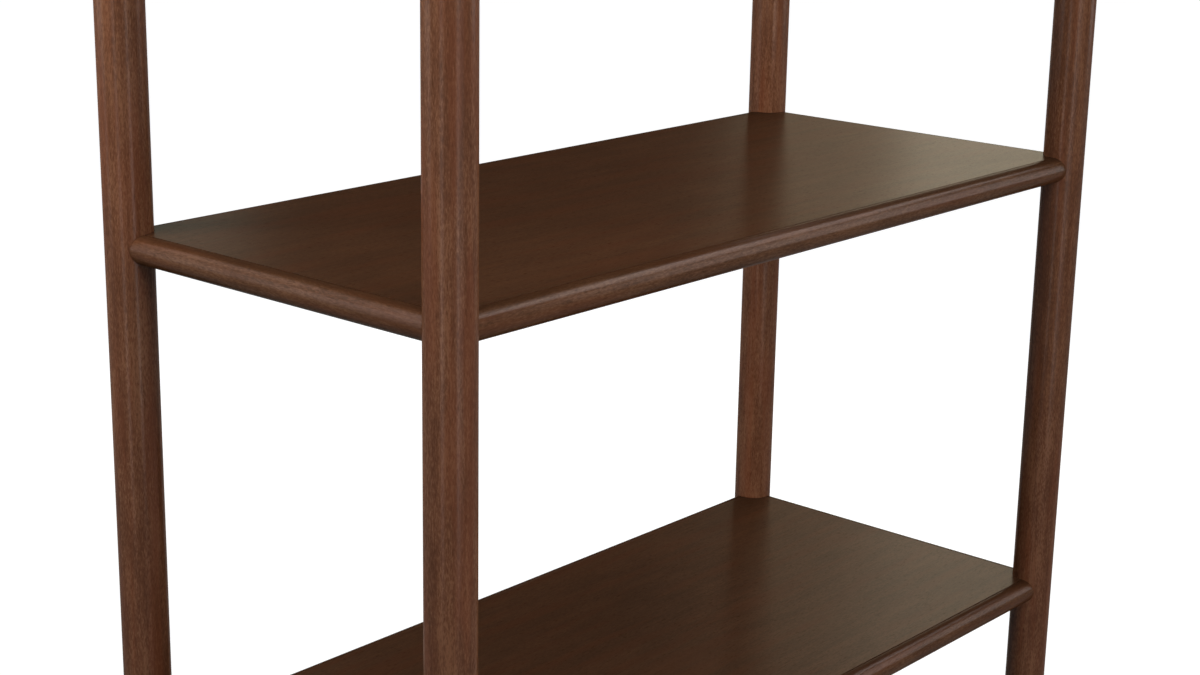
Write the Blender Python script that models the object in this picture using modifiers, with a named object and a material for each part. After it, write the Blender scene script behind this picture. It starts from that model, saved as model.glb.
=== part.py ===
"""A tall open etagere: flat shelves edged with full-round rails, between four round posts.

Metres, +Z up. The origin is on the floor under the middle of the etagere, and its front faces -Y.
Each shelf comes off its posts: a screw in an angled pocket under every corner pulls it to its post.
"""

import math

import bmesh
import bpy
from mathutils import Quaternion, Vector

# Driving dimensions
OVERALL_WIDTH = 0.9144
OVERALL_DEPTH = 0.4152
POST_DIAMETER = 0.041
POST_TOP_ROUND = 0.007
POST_FOOT_EASE = 0.0015
POST_RISE = 0.054

SHELF_COUNT = 5
FOOT_TO_SHELF = 0.1014
SHELF_PITCH = 0.453
RAIL_DIAMETER = 0.0254
PANEL_THICKNESS = 0.018

SCREW_DEPTH = 0.008
SCREW_SLOPE = math.radians(18)
SCREW_SEAT = 0.012
SCREW_LENGTH = 0.040
SCREW_DIAMETER = 0.006
SCREW_POINT = 0.006
SCREW_HEAD_DIAMETER = 0.010
SCREW_HEAD_HEIGHT = 0.0035
SCREW_SOCKET = 0.004
SCREW_SOCKET_DEPTH = 0.002
POCKET_CLEARANCE = 0.0005

PAD_DIAMETER = 0.032
PAD_HEIGHT = 0.008
PAD_RIM_HEIGHT = 0.0035
PAD_SHOULDER = 0.018
PAD_EASE = 0.001
PAD_FLOOR = 0.002
FLANGE_DIAMETER = 0.012
FLANGE_THICKNESS = 0.002
JOURNAL_DIAMETER = 0.007
COLLAR_ACROSS_FLATS = 0.013
COLLAR_HEIGHT = 0.005
THREAD_DIAMETER = 0.008
THREAD_LENGTH = 0.040
THREAD_CHAMFER = 0.001
BORE_SPARE = 0.004

# GAP is the clearance between pieces that touch, OVERCUT takes a cutter past the face that it opens,
# and vertices closer than WELD are one.
GAP = 0.0003
OVERCUT = 0.002
POST_FACETS = 32
RAIL_FACETS = 24
FOOT_FACETS = 24
SCREW_FACETS = 12
CROWN_STEPS = 4
SMOOTH_ANGLE = math.radians(32)
WELD = 0.00001

# Sizes and places that follow from them
POST_RADIUS = POST_DIAMETER / 2
RAIL_RADIUS = RAIL_DIAMETER / 2
POST_X = OVERALL_WIDTH / 2 - POST_RADIUS
POST_Y = OVERALL_DEPTH / 2 - POST_RADIUS
COLLAR_BOTTOM = PAD_HEIGHT + GAP
POST_BOTTOM = COLLAR_BOTTOM + COLLAR_HEIGHT + GAP
SHELF_TOPS = [POST_BOTTOM + FOOT_TO_SHELF + n * SHELF_PITCH for n in range(SHELF_COUNT)]
POST_TOP = SHELF_TOPS[-1] + POST_RISE
CORNERS = {
    "front_left": (-1, -1),
    "front_right": (1, -1),
    "back_left": (-1, 1),
    "back_right": (1, 1),
}


def clear_scene():
    for old in list(bpy.data.objects):
        bpy.data.objects.remove(old)


def new_collection(name):
    made = bpy.data.collections.new(name)
    bpy.context.scene.collection.children.link(made)
    return made


def new_material(name, colour, roughness, metallic=0.0):
    made = bpy.data.materials.new(name)
    made.use_nodes = True
    shader = made.node_tree.nodes["Principled BSDF"]
    shader.inputs["Base Color"].default_value = (*colour, 1)
    shader.inputs["Roughness"].default_value = roughness
    shader.inputs["Metallic"].default_value = metallic
    return made


def add_object(name, data, collection, location=(0, 0, 0), rotation=(0, 0, 0), material=None):
    made = bpy.data.objects.new(name, data)
    made.location = location
    made.rotation_euler = rotation
    collection.objects.link(made)
    if material:
        # The slot is the object's own, because pieces of one shape share their mesh.
        if not data.materials:
            data.materials.append(None)
        made.material_slots[0].link = "OBJECT"
        made.material_slots[0].material = material
    return made


def add_cutter(name, mesh, location=(0, 0, 0), rotation=(0, 0, 0)):
    made = add_object(name, mesh, cutters, location, rotation)
    made.hide_render = True
    made.display_type = "WIRE"
    return made


def shape(piece, cutter, operation="DIFFERENCE"):
    """A Boolean that stays on the piece."""
    boolean = piece.modifiers.new(f"{operation.lower()} {cutter.name}", "BOOLEAN")
    boolean.object = cutter
    boolean.operation = operation
    boolean.solver = "EXACT"


def finished_mesh(piece):
    """The piece's evaluated shape as a mesh, welded and shaded smooth across its facets. The piece is removed."""
    graph = bpy.context.evaluated_depsgraph_get()
    mesh = bpy.data.meshes.new_from_object(piece.evaluated_get(graph))
    bpy.data.objects.remove(piece)
    work = bmesh.new()
    work.from_mesh(mesh)
    bmesh.ops.remove_doubles(work, verts=work.verts, dist=WELD)
    bmesh.ops.recalc_face_normals(work, faces=work.faces)
    work.to_mesh(mesh)
    work.free()
    mesh.shade_smooth()
    mesh.set_sharp_from_angle(angle=SMOOTH_ANGLE)
    return mesh


def arc(centre_x, centre_y, radius, start, end, steps):
    """Points along an arc, with its angles in degrees and both ends included."""
    turns = [math.radians(start + (end - start) * i / steps) for i in range(steps + 1)]
    return [(centre_x + radius * math.cos(t), centre_y + radius * math.sin(t)) for t in turns]


def turned_mesh(profile, facets):
    """A solid of revolution about Z, from (radius, height) points that run down its outer side."""
    line = bpy.data.meshes.new("profile")
    edges = [(i, i + 1) for i in range(len(profile) - 1)]
    line.from_pydata([(radius, 0, height) for radius, height in profile], edges, [])
    piece = add_object("profile", line, parts)
    screw = piece.modifiers.new("turn", "SCREW")
    screw.steps = facets
    screw.render_steps = facets
    screw.use_merge_vertices = True
    screw.merge_threshold = WELD
    return finished_mesh(piece)


def prism_mesh(across_flats, bottom, top):
    """A hexagonal prism about Z."""
    work = bmesh.new()
    radius = across_flats / 2 / math.cos(math.pi / 6)
    bmesh.ops.create_cone(
        work, cap_ends=True, segments=6, radius1=radius, radius2=radius, depth=top - bottom
    )
    bmesh.ops.translate(work, verts=work.verts, vec=(0, 0, (top + bottom) / 2))
    mesh = bpy.data.meshes.new("prism")
    work.to_mesh(mesh)
    work.free()
    return mesh


def post_mesh():
    """A plain turned post, with a soft round at its top and a small ease at its foot."""
    crown_radius = POST_RADIUS - POST_TOP_ROUND
    crown = arc(crown_radius, POST_TOP - POST_TOP_ROUND, POST_TOP_ROUND, 90, 0, CROWN_STEPS)
    foot = [(POST_RADIUS, POST_BOTTOM + POST_FOOT_EASE), (POST_RADIUS - POST_FOOT_EASE, POST_BOTTOM)]
    return turned_mesh([(0, POST_TOP), *crown, *foot, (0, POST_BOTTOM)], POST_FACETS)


def post_seat_mesh():
    """What a post takes out of the shelf around it: the post's own facets, one gap larger."""
    radius = POST_RADIUS + GAP
    return turned_mesh(
        [
            (0, POST_TOP + OVERCUT),
            (radius, POST_TOP + OVERCUT),
            (radius, POST_BOTTOM - OVERCUT),
            (0, POST_BOTTOM - OVERCUT),
        ],
        POST_FACETS,
    )


def rail_mesh(length):
    """A full-round rod with a rebate milled in its inner upper quarter, where the panel lies.

    The outline is the rod's section, with the shelf's inside towards +X. It is extruded along Z.
    """
    ledge = RAIL_RADIUS - PANEL_THICKNESS - GAP
    end = 360 + math.degrees(math.asin(ledge / RAIL_RADIUS))
    steps = round((end - 90) / 360 * RAIL_FACETS)
    outline = [*arc(0, 0, RAIL_RADIUS, 90, end, steps), (0, ledge)]
    curve = bpy.data.curves.new("rail section", "CURVE")
    curve.dimensions = "2D"
    curve.fill_mode = "BOTH"
    curve.extrude = length / 2
    spline = curve.splines.new("POLY")
    spline.points.add(len(outline) - 1)
    for point, (across, up) in zip(spline.points, outline):
        point.co = (across, up, 0, 1)
    spline.use_cyclic_u = True
    return finished_mesh(add_object("rail section", curve, parts))


def panel_mesh():
    """A flat board that reaches the rails' top lines, one gap short of them."""
    work = bmesh.new()
    bmesh.ops.create_cube(work, size=1)
    bmesh.ops.scale(
        work, verts=work.verts, vec=(2 * (POST_X - GAP), 2 * (POST_Y - GAP), PANEL_THICKNESS)
    )
    bmesh.ops.translate(work, verts=work.verts, vec=(0, 0, -PANEL_THICKNESS / 2))
    mesh = bpy.data.meshes.new("panel")
    work.to_mesh(mesh)
    work.free()
    return mesh


def screw_mesh():
    """A corner screw along Z: its seat is at zero, its point at the top and its socket head below."""
    radius = SCREW_DIAMETER / 2
    head_radius = SCREW_HEAD_DIAMETER / 2
    profile = [
        (0, SCREW_LENGTH),
        (radius, SCREW_LENGTH - SCREW_POINT),
        (radius, 0),
        (head_radius, 0),
        (head_radius, -SCREW_HEAD_HEIGHT),
        (0, -SCREW_HEAD_HEIGHT),
    ]
    screw = add_object("screw", turned_mesh(profile, SCREW_FACETS), parts)
    bottom = -SCREW_HEAD_HEIGHT - OVERCUT
    socket_mesh = prism_mesh(SCREW_SOCKET, bottom, SCREW_SOCKET_DEPTH - SCREW_HEAD_HEIGHT)
    socket = add_cutter("screw socket", socket_mesh)
    shape(screw, socket)
    mesh = finished_mesh(screw)
    bpy.data.objects.remove(socket)
    return mesh


def pocket_mesh():
    """The stepped hole for a corner screw, along the same axis: a pilot hole and a pocket for the head.

    The pocket runs back from the seat until it is all out of the panel's underside.
    """
    radius = SCREW_DIAMETER / 2 + GAP
    pocket_radius = SCREW_HEAD_DIAMETER / 2 + POCKET_CLEARANCE
    seat_depth = SCREW_DEPTH + SCREW_SEAT * math.sin(SCREW_SLOPE)
    rise = PANEL_THICKNESS - seat_depth + pocket_radius * math.cos(SCREW_SLOPE)
    back = rise / math.sin(SCREW_SLOPE) + OVERCUT
    return turned_mesh(
        [
            (0, SCREW_LENGTH + GAP),
            (radius, SCREW_LENGTH + GAP),
            (radius, GAP),
            (pocket_radius, GAP),
            (pocket_radius, -back),
            (0, -back),
        ],
        SCREW_FACETS,
    )


def pad_mesh():
    """A nylon foot pad, with a round pocket that the stem's flange snaps into and turns in."""
    flange_top = PAD_FLOOR + GAP + FLANGE_THICKNESS
    pocket_radius = FLANGE_DIAMETER / 2 + GAP
    mouth_radius = JOURNAL_DIAMETER / 2 + GAP
    pad_radius = PAD_DIAMETER / 2
    return turned_mesh(
        [
            (0, PAD_FLOOR),
            (pocket_radius, PAD_FLOOR),
            (pocket_radius, flange_top + GAP),
            (mouth_radius, flange_top + GAP),
            (mouth_radius, PAD_HEIGHT),
            (PAD_SHOULDER / 2, PAD_HEIGHT),
            (pad_radius, PAD_RIM_HEIGHT),
            (pad_radius, PAD_EASE),
            (pad_radius - PAD_EASE, 0),
            (0, 0),
        ],
        FOOT_FACETS,
    )


def stem_mesh():
    """A steel leveler stem: flange and journal in the pad, hexagon collar under the post, thread up its bore."""
    thread_radius = THREAD_DIAMETER / 2
    journal_radius = JOURNAL_DIAMETER / 2
    flange_radius = FLANGE_DIAMETER / 2
    flange_bottom = PAD_FLOOR + GAP
    collar_top = COLLAR_BOTTOM + COLLAR_HEIGHT
    collar_middle = COLLAR_BOTTOM + COLLAR_HEIGHT / 2
    top = collar_top + THREAD_LENGTH
    profile = [
        (0, top),
        (thread_radius - THREAD_CHAMFER, top),
        (thread_radius, top - THREAD_CHAMFER),
        (thread_radius, collar_middle),
        (journal_radius, collar_middle),
        (journal_radius, flange_bottom + FLANGE_THICKNESS),
        (flange_radius, flange_bottom + FLANGE_THICKNESS),
        (flange_radius, flange_bottom),
        (0, flange_bottom),
    ]
    stem = add_object("stem", turned_mesh(profile, FOOT_FACETS), parts)
    collar = add_cutter("collar", prism_mesh(COLLAR_ACROSS_FLATS, COLLAR_BOTTOM, collar_top))
    shape(stem, collar, "UNION")
    mesh = finished_mesh(stem)
    bpy.data.objects.remove(collar)
    return mesh


def stem_bore_mesh():
    """The bore for a stem, up from the foot of a post."""
    radius = THREAD_DIAMETER / 2 + GAP
    top = COLLAR_BOTTOM + COLLAR_HEIGHT + THREAD_LENGTH + BORE_SPARE
    bottom = POST_BOTTOM - OVERCUT
    return turned_mesh([(0, top), (radius, top), (radius, bottom), (0, bottom)], FOOT_FACETS)


def build_posts():
    """The four posts, each with its stem bore. Returns them, and what each takes out of a shelf."""
    mesh = post_mesh()
    seat = post_seat_mesh()
    bore = stem_bore_mesh()
    posts = {}
    seats = {}
    for corner, (side, face) in CORNERS.items():
        place = (side * POST_X, face * POST_Y, 0)
        posts[corner] = add_object(f"post_{corner}", mesh, parts, place, material=post_wood)
        seats[corner] = add_cutter(f"seat {corner}", seat, place)
        shape(posts[corner], add_cutter(f"stem bore {corner}", bore, place))
    return posts, seats


def build_shelf(number, top, posts, seats):
    """One shelf: its panel, four rails and four corner screws, with their holes in panel and posts."""
    panel = add_object(f"shelf_{number}_panel", panel_board, parts, (0, 0, top), material=panel_wood)
    for seat in seats.values():
        shape(panel, seat)

    # Each rail's section looks inwards, so each turns a quarter further than the one before.
    axis_height = top - RAIL_RADIUS
    rails = {
        "front": (long_rod, (0, -POST_Y), ("front_left", "front_right")),
        "right": (short_rod, (POST_X, 0), ("front_right", "back_right")),
        "back": (long_rod, (0, POST_Y), ("back_left", "back_right")),
        "left": (short_rod, (-POST_X, 0), ("front_left", "back_left")),
    }
    for quarter, (side, (mesh, (x, y), corners)) in enumerate(rails.items()):
        turn = (math.pi / 2, 0, math.pi / 2 * (quarter + 1))
        place = (x, y, axis_height)
        rail = add_object(f"shelf_{number}_rail_{side}", mesh, parts, place, turn, rail_wood)
        for corner in corners:
            shape(rail, seats[corner])

    # The half facet of twist keeps a pocket's edges off the corner line of the post's seat.
    twist = Quaternion((0, 0, 1), math.pi / SCREW_FACETS)
    for corner, (side, face) in CORNERS.items():
        flat = math.cos(SCREW_SLOPE) / math.sqrt(2)
        along = Vector((side * flat, face * flat, math.sin(SCREW_SLOPE)))
        inset = POST_RADIUS / math.sqrt(2)
        entry = Vector((side * (POST_X - inset), face * (POST_Y - inset), top - SCREW_DEPTH))
        place = entry - along * SCREW_SEAT
        turn = (along.to_track_quat("Z", "Y") @ twist).to_euler()
        name = f"shelf_{number}_screw_{corner}"
        add_object(name, corner_screw, parts, place, turn, screw_steel)
        pocket = add_cutter(f"pocket {number} {corner}", screw_pocket, place, turn)
        shape(panel, pocket)
        shape(posts[corner], pocket)


def build_leveler(corner, side, face):
    """A pad and its stem, both on the post's axis, which they slide along and turn about."""
    axis = bpy.data.objects.new(f"leveler axis {corner}", None)
    axis.location = (side * POST_X, face * POST_Y, 0)
    parts.objects.link(axis)
    pad = add_object(f"leveler_base_{corner}", pad_shape, parts, material=pad_nylon)
    stem = add_object(f"leveler_stem_{corner}", stem_shape, parts, material=stem_steel)
    pad.parent = axis
    stem.parent = axis


clear_scene()
parts = new_collection("etagere")
cutters = new_collection("cutters")

post_wood = new_material("post wood", (0.105, 0.042, 0.024), 0.42)
rail_wood = new_material("rail wood", (0.098, 0.037, 0.021), 0.38)
panel_wood = new_material("panel wood", (0.075, 0.029, 0.016), 0.34)
screw_steel = new_material("screw steel", (0.16, 0.15, 0.14), 0.35, 1.0)
stem_steel = new_material("stem steel", (0.55, 0.55, 0.54), 0.30, 1.0)
pad_nylon = new_material("pad nylon", (0.022, 0.021, 0.020), 0.55)

panel_board = panel_mesh()
long_rod = rail_mesh(2 * POST_X)
short_rod = rail_mesh(2 * POST_Y)
corner_screw = screw_mesh()
screw_pocket = pocket_mesh()
pad_shape = pad_mesh()
stem_shape = stem_mesh()

post_objects, post_seats = build_posts()
for index, shelf_top in enumerate(SHELF_TOPS):
    build_shelf(index + 1, shelf_top, post_objects, post_seats)
for corner_name, (x_side, y_side) in CORNERS.items():
    build_leveler(corner_name, x_side, y_side)
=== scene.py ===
"""A tall open etagere in dark stained wood: flat shelves edged with round rods, between four round posts.

Metres, +Z up, with the front towards -Y. The sections follow the etagere as it is put together: posts, shelf
boards, edge rods, corner screws, levelling feet, and then the room that it stands in.
"""

import math

import bmesh
import bpy
from mathutils import Matrix, Vector


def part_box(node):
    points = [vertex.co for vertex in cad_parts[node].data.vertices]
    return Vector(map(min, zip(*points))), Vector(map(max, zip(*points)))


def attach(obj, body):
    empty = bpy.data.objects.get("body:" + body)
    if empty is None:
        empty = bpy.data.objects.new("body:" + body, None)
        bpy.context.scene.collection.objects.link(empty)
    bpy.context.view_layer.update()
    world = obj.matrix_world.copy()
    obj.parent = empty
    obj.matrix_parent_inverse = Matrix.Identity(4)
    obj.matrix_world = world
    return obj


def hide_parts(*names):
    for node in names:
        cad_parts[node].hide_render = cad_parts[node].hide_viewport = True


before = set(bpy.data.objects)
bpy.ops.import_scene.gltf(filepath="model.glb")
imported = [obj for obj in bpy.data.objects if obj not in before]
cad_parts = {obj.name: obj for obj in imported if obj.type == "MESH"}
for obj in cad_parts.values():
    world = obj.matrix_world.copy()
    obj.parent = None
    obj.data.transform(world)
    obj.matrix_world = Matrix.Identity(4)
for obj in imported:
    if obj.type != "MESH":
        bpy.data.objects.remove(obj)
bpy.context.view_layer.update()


# Posts
# Four solid hardwood rods, turned to one diameter, stained dark walnut and sprayed with satin lacquer. Each
# post's colour is painted a little lighter or darker, as painted light and shade. The top is rounded over,
# the foot has a small chamfer, and a bore up from the foot takes the leveler's stem.

# Each corner's side, -1 at the left, and face, -1 at the front.
CORNERS = {
    "front_left": (-1, -1),
    "front_right": (1, -1),
    "back_left": (-1, 1),
    "back_right": (1, 1),
}

# Points closer than this are one, and edges turned by more degrees than this stay sharp.
same_place = 1e-6
sharp_angle = 35


class Tone:
    """A value in a finish. Python arithmetic on it adds the Math nodes."""

    def __init__(self, finish, socket):
        self.finish = finish
        self.socket = socket

    def maths(self, operation, *values):
        """The Math node that does the operation on the values."""
        return self.finish.node("ShaderNodeMath", {"operation": operation}, dict(enumerate(values)))

    def __add__(self, other):
        return self.maths("ADD", self, other)

    def __radd__(self, other):
        return self.maths("ADD", other, self)

    def __sub__(self, other):
        return self.maths("SUBTRACT", self, other)

    def __rsub__(self, other):
        return self.maths("SUBTRACT", other, self)

    def __mul__(self, other):
        return self.maths("MULTIPLY", self, other)

    def __pow__(self, other):
        return self.maths("POWER", self, other)


class Finish:
    """A node material on a Principled shader, or the nodes of the room's backdrop."""

    def __init__(self, name, backdrop=None):
        self.material = backdrop or bpy.data.materials.new(name)
        self.material.use_nodes = True
        self.tree = self.material.node_tree
        self.surface = self.tree.nodes["Background" if backdrop else "Principled BSDF"]

    def node(self, kind, settings=None, sockets=None, output=0):
        """One node of any type: its settings are set first, then its sockets are given values or links."""
        made = self.tree.nodes.new(kind)
        for key, value in (settings or {}).items():
            setattr(made, key, value)
        for key, value in (sockets or {}).items():
            self.feed(made, key, value)
        if isinstance(output, str):
            output = next(i for i, socket in enumerate(made.outputs) if socket.identifier == output)
        return Tone(self, made.outputs[output])

    def feed(self, node, key, value):
        """Gives a node's socket, found by name or number, a link, a colour or a plain value."""
        if isinstance(key, str):
            socket = next(socket for socket in node.inputs if key in (socket.identifier, socket.name))
        else:
            socket = node.inputs[key]
        if isinstance(value, Tone):
            self.tree.links.new(value.socket, socket)
        elif isinstance(value, tuple) and socket.type == "RGBA":
            socket.default_value = (*value, 1)
        else:
            socket.default_value = value

    def place(self):
        """The surface point's own x, y and z in metres."""
        point = self.node("ShaderNodeTexCoord", output="Object")
        return [self.node("ShaderNodeSeparateXYZ", {}, {0: point}, i) for i in range(3)]

    def noise(self, x, y, z, detail=2.0, roughness=0.5):
        """Smooth noise round 0.5, with one cycle for each unit of x, y and z."""
        point = self.node("ShaderNodeCombineXYZ", {}, {0: x, 1: y, 2: z})
        sockets = {"Vector": point, "Scale": 1.0, "Detail": detail, "Roughness": roughness}
        return self.node("ShaderNodeTexNoise", {}, sockets)

    def step(self, value, low, high):
        """0 below low and 1 above high, with a smooth rise between them."""
        sockets = {"Value": value, "From Min": low, "From Max": high}
        return self.node("ShaderNodeMapRange", {"interpolation_type": "SMOOTHSTEP"}, sockets)

    def mix(self, share, first, second):
        """The first colour where the share is 0, and the second where it is 1."""
        sockets = {"Factor_Float": share, "A_Color": first, "B_Color": second}
        return self.node("ShaderNodeMix", {"data_type": "RGBA"}, sockets, "Result_Color")

    def bump(self, height, depth):
        """Shades the surface as if it were raised by the height times a depth in metres."""
        sockets = {"Height": height, "Distance": depth, "Strength": 1.0}
        self.feed(self.surface, "Normal", self.node("ShaderNodeBump", {}, sockets))


def stained_wood(name, grain, heart, dark, body, bright, figure_size, roughness, gloss=0.12, painted_top_shade=0.0):
    """Stained hardwood with its grain along one axis: rings, streaks, fibres and pores under a satin lacquer.

    heart is where the log's heart runs, across the grain. figure_size is the width of a ring in metres.
    The last argument is painted shade: how much darker the colour is where the surface faces up. The noise is
    scaled in cycles a metre.
    """
    finish = Finish(name)
    x, y, z = finish.place()
    along, across, through = {"X": (x, y, z), "Y": (y, x, z), "Z": (z, x, y)}[grain]

    wander = finish.noise(across * 7, through * 7, along * 1.3)
    side = across - heart[0] + (wander - 0.5) * 0.05
    depth = through - heart[1]
    distance = (side * side + depth * depth) ** 0.5
    rings = finish.noise(distance * (1 / figure_size), along * 0.7, 0.0, roughness=0.6)
    streaks = finish.noise(across * 260, through * 260, along * 14)
    flecks = finish.noise(across * 900, through * 900, along * 230, roughness=0.6)
    mottle = finish.noise(across * 62, through * 62, along * 15, roughness=0.6)
    pores = finish.step(finish.noise(across * 900, through * 900, along * 120, detail=1.0), 0.60, 0.74)

    tone = rings * 0.18 + streaks * 0.20 + flecks * 0.40 + mottle * 0.22
    colour = finish.mix(finish.step(tone, 0.41, 0.51), dark, body)
    colour = finish.mix(finish.step(tone, 0.49, 0.60), colour, bright)
    redness = finish.step(finish.noise(across * 75, through * 75, along * 6), 0.46, 0.66)
    red = tuple(channel * share for channel, share in zip(body, (1.22, 0.92, 0.80)))
    colour = finish.mix(redness * 0.4, colour, red)
    colour = finish.mix(pores * 0.35, colour, tuple(channel * 0.45 for channel in dark))
    # Painted shade: where the surface faces up, the colour is darkened as if less light fell there.
    if painted_top_shade:
        normal = finish.node("ShaderNodeNewGeometry", output="Normal")
        up = finish.step(finish.node("ShaderNodeSeparateXYZ", {}, {0: normal}, 2), 0.62, 1.0)
        colour = finish.mix(up * painted_top_shade, colour, tuple(channel * 0.5 for channel in dark))
    finish.feed(finish.surface, "Base Color", colour)
    finish.feed(finish.surface, "Specular IOR Level", 0.0)
    finish.feed(finish.surface, "Roughness", 0.5)
    finish.feed(finish.surface, "Coat Weight", gloss - pores * (gloss * 0.4) + (flecks - 0.5) * (gloss * 0.3))
    finish.feed(finish.surface, "Coat Roughness", roughness)
    finish.bump(flecks * 0.4 - pores, 0.00003)
    return finish.material


def start():
    """Leaves object mode with nothing selected."""
    if bpy.context.mode != "OBJECT":
        bpy.ops.object.mode_set(mode="OBJECT")
    bpy.ops.object.select_all(action="DESELECT")


def only(piece):
    """Selects one piece alone and makes it active."""
    start()
    piece.select_set(True)
    bpy.context.view_layer.objects.active = piece


def rod(name, radius, length, middle, direction="Z", facets=96):
    """A plain round rod, ready to shape in edit mode, with its place in its mesh."""
    start()
    turn = {"X": (0, math.pi / 2, 0), "Y": (math.pi / 2, 0, 0), "Z": (0, 0, 0)}[direction]
    bpy.ops.mesh.primitive_cylinder_add(
        vertices=facets, radius=radius, depth=length, location=middle, rotation=turn
    )
    piece = bpy.context.object
    piece.name = name
    bpy.ops.object.transform_apply(location=True, rotation=True, scale=True)
    return piece


def pick(piece, kind, wanted):
    """In edit mode, selects only the faces or edges that pass the test."""
    if bpy.context.mode != "EDIT_MESH":
        only(piece)
        bpy.ops.object.mode_set(mode="EDIT")
    bpy.ops.mesh.select_mode(type=kind)
    bpy.ops.mesh.select_all(action="DESELECT")
    mesh = bmesh.from_edit_mesh(piece.data)
    for part in mesh.faces if kind == "FACE" else mesh.edges:
        if wanted(part):
            part.select_set(True)
    bmesh.update_edit_mesh(piece.data)


def level(height):
    """The test for a face or edge that lies flat at a height."""
    return lambda part: all(abs(vert.co.z - height) < same_place for vert in part.verts)


def round_edges(width, steps):
    """Rounds the selected edges."""
    bpy.ops.mesh.bevel(offset=width, segments=steps, affect="EDGES")


def pull(shift):
    """Extrudes the selected faces by a shift."""
    bpy.ops.mesh.extrude_region_move(TRANSFORM_OT_translate={"value": shift})


def add_modifier(piece, kind, **settings):
    """Adds a modifier and applies it."""
    only(piece)
    modifier = piece.modifiers.new(kind.lower(), kind)
    for key, value in settings.items():
        setattr(modifier, key, value)
    bpy.ops.object.modifier_apply(modifier=modifier.name)


def cut(piece, *cutters):
    """Takes each cutter out of the piece, and removes it."""
    for cutter in cutters:
        add_modifier(piece, "BOOLEAN", object=cutter, operation="DIFFERENCE", solver="EXACT")
        bpy.data.objects.remove(cutter)


def ease(piece, width, angle=sharp_angle):
    """Rounds every sharp edge a little, as sanding does."""
    limit = {"limit_method": "ANGLE", "angle_limit": math.radians(angle)}
    add_modifier(piece, "BEVEL", width=width, segments=2, **limit)


def shade(piece):
    """Smooth shading across facets and eased edges, with the flat faces kept flat."""
    only(piece)
    bpy.ops.object.shade_smooth_by_angle(angle=math.radians(sharp_angle))
    add_modifier(piece, "WEIGHTED_NORMAL", keep_sharp=True)


def copy_of(piece, name, move):
    """A copy with its own mesh, moved inside the mesh."""
    made = bpy.data.objects.new(name, piece.data.copy())
    bpy.context.scene.collection.objects.link(made)
    made.data.transform(move)
    return made


def fit(piece, material, body, node):
    """Gives a finished piece its material and slot, and its place on a body for a node of the frame."""
    piece.data.materials.clear()
    piece.data.materials.append(material)
    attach(piece, body)
    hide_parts(node)


post_low, post_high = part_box("post_front_left")
post_radius = (post_high.x - post_low.x) / 2
post_axis = (post_low + post_high) / 2
post_top_round = 0.007
post_top_steps = 8
post_foot_chamfer = 0.0015
stem_bore_radius = 0.0043
stem_bore_depth = 0.0438

post_heart = (0.10, -0.30)
post_ring = 0.0075
post_colours = ((0.091, 0.0348, 0.0168), (0.126, 0.0502, 0.0247), (0.180, 0.0789, 0.0401))
# Painted light and shade: each post's colour is scaled lighter or darker for how light falls on it.
post_painted_light_shares = {"front_left": 0.90, "front_right": 0.95, "back_left": 0.97, "back_right": 1.27}
rod_gloss_roughness = 0.20


def corner_place(side, face, height=0):
    """The point on a corner post's axis at a height."""
    return Vector((-side * post_axis.x, -face * post_axis.y, height))


post = rod("round_post_front_left", post_radius, post_high.z - post_low.z, post_axis)
pick(post, "EDGE", level(post_high.z))
round_edges(post_top_round, post_top_steps)
pick(post, "EDGE", level(post_low.z))
round_edges(post_foot_chamfer, 2)
pick(post, "FACE", level(post_low.z))
bpy.ops.mesh.inset(thickness=post_radius - post_foot_chamfer - stem_bore_radius)
pull((0, 0, stem_bore_depth))
shade(post)

for corner, (side, face) in CORNERS.items():
    if corner == "front_left":
        placed = post
    else:
        shift = Matrix.Translation(corner_place(side, face) - corner_place(-1, -1))
        placed = copy_of(post, f"round_post_{corner}", shift)
    # The post's colours are scaled by its painted light and shade.
    colours = [tuple(channel * post_painted_light_shares[corner] for channel in colour) for colour in post_colours]
    stain = f"dark walnut stain on the {corner} post"
    post_wood = stained_wood(stain, "Z", post_heart, *colours, post_ring, rod_gloss_roughness)
    fit(placed, post_wood, "shelving", f"post_{corner}")


# Shelf boards
# Flat veneered boards, 18 mm thick, stained and lacquered as the posts, with the grain along the shelf. Each
# corner is cut round for its post, and an angled pocket under each corner takes the screw that pulls it in.

SHELVES = [1, 2, 3, 4, 5]

board_low, board_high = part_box("shelf_1_panel")
board_ease = 0.0009
clearance = 0.0003
screw_slope = math.radians(18)
screw_depth = 0.008
screw_seat = 0.012
pocket_radius = 0.0055
pilot_radius = 0.0033
pocket_length = 0.060
pilot_length = 0.040
seat_radius = post_radius + clearance
seat_cutter_length = 0.1

board_heart = (0.03, -0.55)
board_ring = 0.011
board_colours = ((0.0463, 0.0197, 0.0091), (0.0555, 0.0235, 0.0107), (0.0690, 0.0280, 0.0126))
board_gloss_roughness = 0.30
board_wood = stained_wood(
    "dark walnut stain and painted top shade on the boards", "X", board_heart, *board_colours, board_ring, board_gloss_roughness
)


def screw_line(side, face, top):
    """A corner screw's place and turn: it rises into the post, at 45 degrees in plan."""
    flat = math.cos(screw_slope) / math.sqrt(2)
    along = Vector((side * flat, face * flat, math.sin(screw_slope)))
    inset = post_radius / math.sqrt(2)
    entry = Vector((side * (-post_axis.x - inset), face * (-post_axis.y - inset), top - screw_depth))
    turn = along.to_track_quat("Z", "Y").to_matrix().to_4x4()
    return Matrix.Translation(entry - along * screw_seat) @ turn


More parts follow.
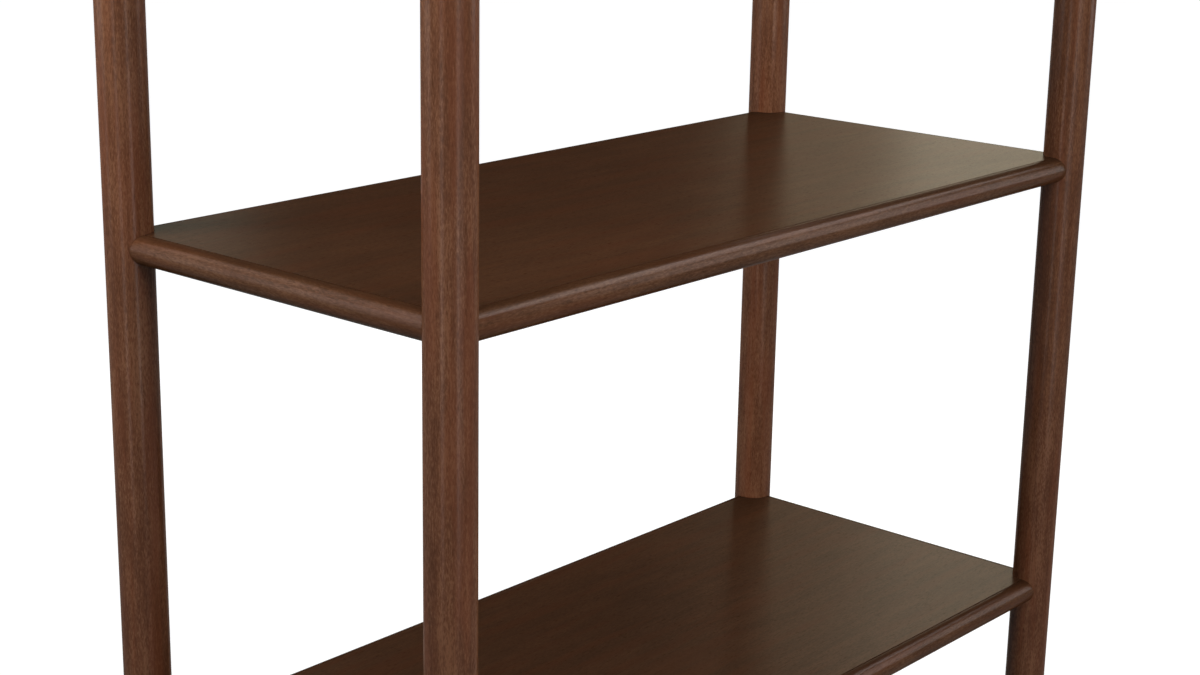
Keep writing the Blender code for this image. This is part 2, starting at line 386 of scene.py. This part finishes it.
start()
bpy.ops.mesh.primitive_cube_add(size=1, location=(board_low + board_high) / 2, scale=board_high - board_low)
board = bpy.context.object
board.name = "board_of_shelf_1"
bpy.ops.object.transform_apply(location=True, rotation=True, scale=True)
for corner, (side, face) in CORNERS.items():
    seat = rod("seat", seat_radius, seat_cutter_length, corner_place(side, face, board_high.z))
    pilot = rod("pilot", pilot_radius, pilot_length, (0, 0, pilot_length / 2), facets=24)
    pocket = rod("pocket", pocket_radius, pocket_length, (0, 0, -pocket_length / 2), facets=40)
    for hole in (pilot, pocket):
        hole.data.transform(screw_line(side, face, board_high.z))
    cut(board, seat, pilot, pocket)
ease(board, board_ease)
shade(board)


def shelf_top(shelf):
    """The height of a shelf's top face."""
    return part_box(f"shelf_{shelf}_panel")[1].z


def up_to(shelf):
    """The move from the first shelf to another."""
    return Matrix.Translation((0, 0, shelf_top(shelf) - board_high.z))


for shelf in SHELVES:
    placed = board if shelf == 1 else copy_of(board, f"board_of_shelf_{shelf}", up_to(shelf))
    fit(placed, board_wood, "shelving", f"shelf_{shelf}_panel")


# Edge rods
# Full-round hardwood rods, rebated in the inner upper quarter so that the board lies flush with their top
# line. They are glued round the board, and their ends are coped to the round of the posts.

rail_low, rail_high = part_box("shelf_1_rail_front")
rail_radius = (rail_high.z - rail_low.z) / 2
rail_axis_z = (rail_high.z + rail_low.z) / 2
rebate_floor = board_low.z - clearance
rail_ease = 0.0007
rail_arris = 0.0012
rebate_spare = 0.02
rail_facets = 64

rail_colours = ((0.0650, 0.0278, 0.0128), (0.0873, 0.0378, 0.0176), (0.1205, 0.0554, 0.0273))
rail_ring = 0.0065
rail_gloss = 0.10
# The rods' colour is darker where they face up, as painted shade.
rail_painted_top_shade = 0.7
rail_wood = {}
for length, grain, heart in (("long", "X", (0.05, 0.90)), ("short", "Y", (0.07, 0.85))):
    stain = f"dark walnut stain on the {length} rods"
    rail_wood[length] = stained_wood(
        stain, grain, heart, *rail_colours, rail_ring, rod_gloss_roughness, rail_gloss, rail_painted_top_shade
    )


def edge_rod(name, direction, centre, inward):
    """A rebated and coped rod. inward is the horizontal direction from it to the shelf's middle."""
    length = 2 * abs(post_axis.x if direction == "X" else post_axis.y)
    piece = rod(name, rail_radius, length, centre, direction, rail_facets)
    start()
    size = Vector((length + rebate_spare, length + rebate_spare, rebate_spare))
    size[0 if direction == "Y" else 1] = rebate_spare
    middle = centre + inward * rebate_spare / 2
    middle.z = rebate_floor + rebate_spare / 2
    bpy.ops.mesh.primitive_cube_add(size=1, location=middle, scale=size)
    rebate = bpy.context.object
    bpy.ops.object.transform_apply(location=True, rotation=True, scale=True)
    cut(piece, rebate)
    pick(piece, "EDGE", level(rail_high.z))
    round_edges(rail_arris, 3)
    along = Vector((length / 2, 0, 0)) if direction == "X" else Vector((0, length / 2, 0))
    cut(piece, *(rod("cope", seat_radius, seat_cutter_length, centre + along * end) for end in (-1, 1)))
    ease(piece, rail_ease)
    shade(piece)
    return piece


front_rod = edge_rod("front_rod_of_shelf_1", "X", Vector((0, post_axis.y, rail_axis_z)), Vector((0, 1, 0)))
left_rod = edge_rod("left_rod_of_shelf_1", "Y", Vector((post_axis.x, 0, rail_axis_z)), Vector((1, 0, 0)))
half_turn = Matrix.Rotation(math.pi, 4, "Z")
for shelf in SHELVES:
    for edge, model, turn, length in (
        ("front", front_rod, Matrix(), "long"),
        ("back", front_rod, half_turn, "long"),
        ("left", left_rod, Matrix(), "short"),
        ("right", left_rod, half_turn, "short"),
    ):
        name = f"{edge}_rod_of_shelf_{shelf}"
        placed = model if name == model.name else copy_of(model, name, up_to(shelf) @ turn)
        fit(placed, rail_wood[length], "shelving", f"shelf_{shelf}_rail_{edge}")


# Corner screws
# Black oxide steel screws with a cylinder head and a hexagon socket, four under each shelf.
# Each is driven up its pocket at a slope, so that it pulls the shelf's corner tight against the post.

screw_length = 0.040
screw_radius = 0.003
screw_root = 0.0022
screw_point = 0.006
screw_pitch = 0.0025
head_radius = 0.005
head_height = 0.0035
head_ease = 0.0004
socket_radius = 0.00231
socket_depth = 0.002
tip_share = 0.08
thread_low = 0.010
thread_facets = 24

# A thread's root lies this far under its shank's skin, and joined shapes run this far into each other.
sunk = 0.0001
overlap = 0.0005


def black_oxide():
    finish = Finish("black oxide on the corner screws")
    x, y, z = finish.place()
    patches = finish.noise(x * 500, y * 500, z * 500, detail=3.0, roughness=0.6)
    rubbed = finish.step(finish.noise(x * 1400, y * 1400, z * 1400), 0.60, 0.75)
    colour = finish.mix(patches, (0.050, 0.048, 0.046), (0.090, 0.088, 0.086))
    finish.feed(finish.surface, "Base Color", finish.mix(rubbed * 0.5, colour, (0.30, 0.29, 0.28)))
    finish.feed(finish.surface, "Metallic", 1.0)
    finish.feed(finish.surface, "Roughness", 0.30 + patches * 0.22)
    return finish.material


def thread(name, root, crest, pitch, low, high):
    """A helical thread about Z between two heights, with flat closed ends."""
    start()
    bpy.ops.mesh.primitive_plane_add(size=1, location=(0, 0, 0))
    made = bpy.context.object
    made.name = name
    pick(made, "FACE", lambda part: True)
    bpy.ops.mesh.delete(type="ONLY_FACE")
    mesh = bmesh.from_edit_mesh(made.data)
    start_z = low - pitch
    outline = [(root, 0), (crest, 0.40), (crest, 0.55), (root, 0.95)]
    mesh.verts.ensure_lookup_table()
    for vert, (radius, share) in zip(mesh.verts, outline):
        vert.co = (radius, 0, start_z + pitch * share)
    for edge in list(mesh.edges):
        mesh.edges.remove(edge)
    verts = list(mesh.verts)
    verts.append(mesh.verts.new((root, 0, start_z + pitch)))
    for first, second in zip(verts, verts[1:]):
        mesh.edges.new((first, second))
    bmesh.update_edit_mesh(made.data)
    turns = math.ceil((high - low) / pitch) + 2
    add_modifier(
        made,
        "SCREW",
        screw_offset=pitch,
        iterations=turns,
        steps=thread_facets,
        render_steps=thread_facets,
        use_merge_vertices=True,
        merge_threshold=same_place,
    )
    for height, outwards in ((low, -1), (high, 1)):
        pick(made, "FACE", lambda part: True)
        plane = {"plane_co": (0, 0, height), "plane_no": (0, 0, outwards)}
        bpy.ops.mesh.bisect(**plane, use_fill=True, clear_outer=True)
    pick(made, "FACE", lambda part: True)
    bpy.ops.mesh.remove_doubles(threshold=same_place)
    bpy.ops.mesh.normals_make_consistent(inside=False)
    start()
    return made


def join(piece, *others):
    """Makes one object of several, which keep their own closed meshes."""
    start()
    for part in (piece, *others):
        part.select_set(True)
    bpy.context.view_layer.objects.active = piece
    bpy.ops.object.join()
    return piece


def scale_ring(share, height):
    """Scales what is selected about Z, at a height."""
    bpy.ops.transform.resize(value=(share, share, 1), center_override=(0, 0, height))


head = rod("corner_screw", head_radius, head_height, (0, 0, -head_height / 2), facets=48)
pick(head, "EDGE", level(-head_height))
round_edges(head_ease, 3)
cut(head, rod("socket", socket_radius, 2 * socket_depth, (0, 0, -head_height), facets=6))
point_height = screw_length - screw_point
shank_middle = (0, 0, (point_height - overlap) / 2)
shank = rod("shank", screw_root, point_height + overlap, shank_middle, facets=thread_facets)
pick(shank, "FACE", level(point_height))
pull((0, 0, screw_point))
scale_ring(tip_share, screw_length)
coil = thread("coil", screw_root - sunk, screw_radius, screw_pitch, thread_low, point_height)
screw_model = join(head, shank, coil)
shade(screw_model)

screw_steel = black_oxide()
for shelf in SHELVES:
    for corner, (side, face) in CORNERS.items():
        place = screw_line(side, face, shelf_top(shelf))
        placed = copy_of(screw_model, f"corner_screw_{shelf}_{corner}", place)
        fit(placed, screw_steel, "shelving", f"shelf_{shelf}_screw_{corner}")
bpy.data.objects.remove(screw_model)


# Levelling feet
# A zinc plated steel stem, M8, with a hexagon collar for a spanner, screws up into each post.
# Its flange snaps into a moulded nylon pad, which stands on the floor and doesn't turn with it.

pad_radius = 0.016
pad_height = 0.008
pad_rim = 0.0035
pad_shoulder = 0.009
pad_floor = 0.002
pad_foot_round = 0.001
pad_ease = 0.0003
pad_ease_angle = 40
flange_radius = 0.006
flange_height = 0.002
flange_ease = 0.0002
journal_radius = 0.0035
spanner_size = 0.013
collar_radius = spanner_size / 2 / math.cos(math.pi / 6)
collar_height = 0.005
collar_ease = 0.0003
stem_radius = 0.004
stem_root = 0.0034
stem_pitch = 0.00125
stem_length = 0.040
collar_bottom = pad_height + clearance
collar_top = collar_bottom + collar_height


def zinc_plate():
    finish = Finish("zinc plate on the leveler stems")
    x, y, z = finish.place()
    clouds = finish.noise(x * 260, y * 260, z * 260, detail=3.0, roughness=0.6)
    turning = finish.noise(x * 60, y * 60, z * 9000, detail=1.0)
    finish.feed(finish.surface, "Base Color", finish.mix(clouds, (0.50, 0.51, 0.53), (0.64, 0.62, 0.58)))
    finish.feed(finish.surface, "Metallic", 1.0)
    finish.feed(finish.surface, "Roughness", 0.26 + clouds * 0.14 + turning * 0.06)
    finish.bump(turning, 0.00002)
    return finish.material


def moulded_nylon():
    finish = Finish("moulded nylon of the pads")
    x, y, z = finish.place()
    grain = finish.noise(x * 3200, y * 3200, z * 3200)
    flow = finish.noise(x * 120, y * 120, z * 60)
    finish.feed(finish.surface, "Base Color", finish.mix(flow, (0.017, 0.016, 0.015), (0.030, 0.029, 0.028)))
    finish.feed(finish.surface, "Roughness", 0.50 + grain * 0.14)
    finish.bump(grain, 0.00004)
    return finish.material


pad_model = rod("foot_pad", pad_radius, pad_rim, (0, 0, pad_rim / 2), facets=72)
pick(pad_model, "EDGE", level(0))
round_edges(pad_foot_round, 4)
pick(pad_model, "FACE", level(pad_rim))
pull((0, 0, pad_height - pad_rim))
scale_ring(pad_shoulder / pad_radius, pad_height)
mouth = journal_radius + clearance
flange_top = pad_floor + clearance + flange_height
bpy.ops.mesh.inset(thickness=pad_shoulder - mouth)
pull((0, 0, flange_top + clearance - pad_height))
pull((0, 0, 0))
scale_ring((flange_radius + clearance) / mouth, flange_top + clearance)
pull((0, 0, pad_floor - flange_top - clearance))
start()
ease(pad_model, pad_ease, pad_ease_angle)
shade(pad_model)

thread_ends = (collar_top - overlap, collar_top + stem_length)
stem_model = thread("leveler_stem", stem_root, stem_radius, stem_pitch, *thread_ends)
collar = rod("collar", collar_radius, collar_height, (0, 0, (collar_bottom + collar_top) / 2), facets=6)
ease(collar, collar_ease)
journal_low = pad_floor + clearance + flange_height - overlap
journal_high = collar_bottom + overlap
journal_middle = (0, 0, (journal_low + journal_high) / 2)
journal = rod("journal", journal_radius, journal_high - journal_low, journal_middle, facets=48)
flange_middle = (0, 0, pad_floor + clearance + flange_height / 2)
flange = rod("flange", flange_radius, flange_height, flange_middle, facets=48)
ease(flange, flange_ease)
stem_model = join(stem_model, collar, journal, flange)
shade(stem_model)

stem_steel = zinc_plate()
pad_nylon = moulded_nylon()
for corner, (side, face) in CORNERS.items():
    place = Matrix.Translation(corner_place(side, face))
    placed = copy_of(stem_model, f"threaded_stem_{corner}", place)
    fit(placed, stem_steel, f"stem_{corner}", f"leveler_stem_{corner}")
    placed = copy_of(pad_model, f"nylon_pad_{corner}", place)
    fit(placed, pad_nylon, f"pad_{corner}", f"leveler_base_{corner}")
bpy.data.objects.remove(stem_model)
bpy.data.objects.remove(pad_model)


# Room
# A plain floor, a backdrop, soft lamps and the photograph's camera. The floor glows nearly white to the
# camera and in reflections, and keeps a faint shadow of the etagere. The backdrop is white to the camera, and
# in reflections only low down, so that the lamps alone draw the highlights.

white = (1.0, 1.0, 1.0)
near_white = (0.90, 0.90, 0.90)
dim = (0.04, 0.04, 0.04)
black = (0.0, 0.0, 0.0)
floor_grey = (0.2, 0.2, 0.2)
floor_size = 160
glow_start = 1.0
glow_end = 4.0
low_wall_rise = 0.07

start()
bpy.ops.mesh.primitive_plane_add(size=floor_size, location=(0, 0, 0))
floor = bpy.context.object
floor.name = "floor"
floor_paint = Finish("pale floor")
floor_paint.feed(floor_paint.surface, "Roughness", 0.9)
floor_paint.feed(floor_paint.surface, "Specular IOR Level", 0.0)
floor_paint.feed(floor_paint.surface, "Base Color", floor_grey)


def ray_kinds(finish):
    """1 for camera rays, for glossy rays and for rays through glass."""
    camera = finish.node("ShaderNodeLightPath", output="Is Camera Ray")
    outputs = camera.socket.node.outputs
    return camera, Tone(finish, outputs["Is Glossy Ray"]), Tone(finish, outputs["Is Transmission Ray"])


x, y, z = floor_paint.place()
away = floor_paint.step((x * x + y * y) ** 0.5, glow_start, glow_end)
seen, glossy, through_glass = ray_kinds(floor_paint)
seen = seen.maths("MAXIMUM", seen.maths("MAXIMUM", seen, glossy), through_glass)
glow = floor_paint.mix(away, near_white, white)
floor_paint.feed(floor_paint.surface, "Emission Color", floor_paint.mix(seen, black, glow))
floor_paint.feed(floor_paint.surface, "Emission Strength", 1.0)
floor.data.materials.append(floor_paint.material)

world = bpy.data.worlds.new("studio")
bpy.context.scene.world = world
backdrop = Finish("backdrop", world)
direction = backdrop.node("ShaderNodeTexCoord", output="Generated")
height = backdrop.node("ShaderNodeSeparateXYZ", {}, {0: direction}, 2)
seen, glossy, through_glass = ray_kinds(backdrop)
low_wall = glossy * (1 - backdrop.step(height, 0.0, low_wall_rise))
seen = seen.maths("MAXIMUM", seen.maths("MAXIMUM", seen, low_wall), through_glass)
backdrop.feed(backdrop.surface, "Color", backdrop.mix(seen, dim, white))
backdrop.feed(backdrop.surface, "Strength", 1.0)


def softbox(name, place, size, radiance, colour=white, aim=(0, 0, 1.15), diffuse=True, glossy=True):
    """A soft rectangular lamp, width by height, that faces the etagere and isn't seen itself.

    A lamp that isn't diffuse shows only in the lacquer and the metal. One that isn't glossy leaves no
    highlight.
    """
    data = bpy.data.lights.new(name, "AREA")
    data.shape = "RECTANGLE"
    data.size, data.size_y = size
    data.energy = radiance * math.pi * size[0] * size[1]
    data.color = colour
    made = bpy.data.objects.new(name, data)
    made.location = place
    made.rotation_euler = (Vector(aim) - made.location).to_track_quat("-Z", "Y").to_euler()
    made.visible_camera = False
    made.visible_diffuse = diffuse
    made.visible_glossy = glossy
    bpy.context.scene.collection.objects.link(made)


# These light the wood.
left_posts = (-0.44, 0.0, 1.30)
softbox("near left lamp", (-1.15, 0.05, 1.8), (0.5, 0.5), 5.4, aim=left_posts)
softbox("near back left lamp", (-1.0, 0.45, 1.7), (0.4, 0.4), 7.5, aim=left_posts)
softbox("near camera lamp", (-0.9, -0.95, 2.2), (0.6, 0.6), 6.1, aim=left_posts)
softbox("high left softbox", (-2.2, 0.9, 2.4), (1.4, 1.2), 3.4)
softbox("left back strip", (-2.3, 1.6, 1.15), (0.5, 1.4), 3.7)
softbox("back softbox", (1.1, 2.8, 1.7), (1.2, 0.8), 2.2, (0.83, 1.0, 0.82))
softbox("right back softbox", (3.0, 1.1, 1.7), (1.0, 1.4), 4.7, (1.0, 0.94, 0.72))
softbox("inner right back softbox", (2.85, 1.45, 1.7), (1.0, 1.4), 2.3, (1.0, 0.85, 0.58))
softbox("right overhead strip", (1.9, -0.4, 3.0), (2.6, 0.6), 5.1)
softbox("front softbox", (-0.6, -2.5, 2.0), (1.2, 1.4), 6.0)
softbox("front strip", (-0.3, -2.4, 1.2), (0.45, 2.3), 2.9)

# These only draw highlights in the lacquer and the metal, apart from the last, which only lights the wood.
softbox("right front highlight", (2.4, -1.2, 2.9), (1.6, 1.0), 11.0, diffuse=False)
softbox("low right front highlight", (2.4, -1.8, 1.5), (1.2, 1.4), 7.6, diffuse=False)
softbox("back left highlight", (-1.2, 2.5, 2.9), (1.6, 1.0), 4.5, diffuse=False)
softbox("low back left highlight", (-1.9, 2.2, 1.5), (1.2, 1.4), 4.4, diffuse=False)
softbox("left back highlight", (-2.4, 1.4, 2.0), (1.2, 1.2), 5.2, diffuse=False)
softbox("left highlight", (-2.4, -0.6, 1.2), (0.45, 2.3), 5.5, diffuse=False)
softbox("front highlight", (-0.85, -2.14, 1.2), (0.45, 2.3), 7.0, diffuse=False)
softbox("back right fill", (2.2, 2.4, 1.2), (1.6, 1.8), 3.0, glossy=False)

# The camera is fitted to the edges of the posts and shelves in the photograph.
camera = bpy.data.objects.new("camera", bpy.data.cameras.new("camera"))
camera.data.lens = 64.965
camera.data.sensor_width = 36
camera.location = (-1.4974, -1.2495, 1.4222)
camera.rotation_euler = (1.2991, -0.0170, -0.8515)
camera.data.clip_end = 200
bpy.context.scene.collection.objects.link(camera)
bpy.context.scene.camera = camera
bpy.context.scene.view_settings.view_transform = "Standard"
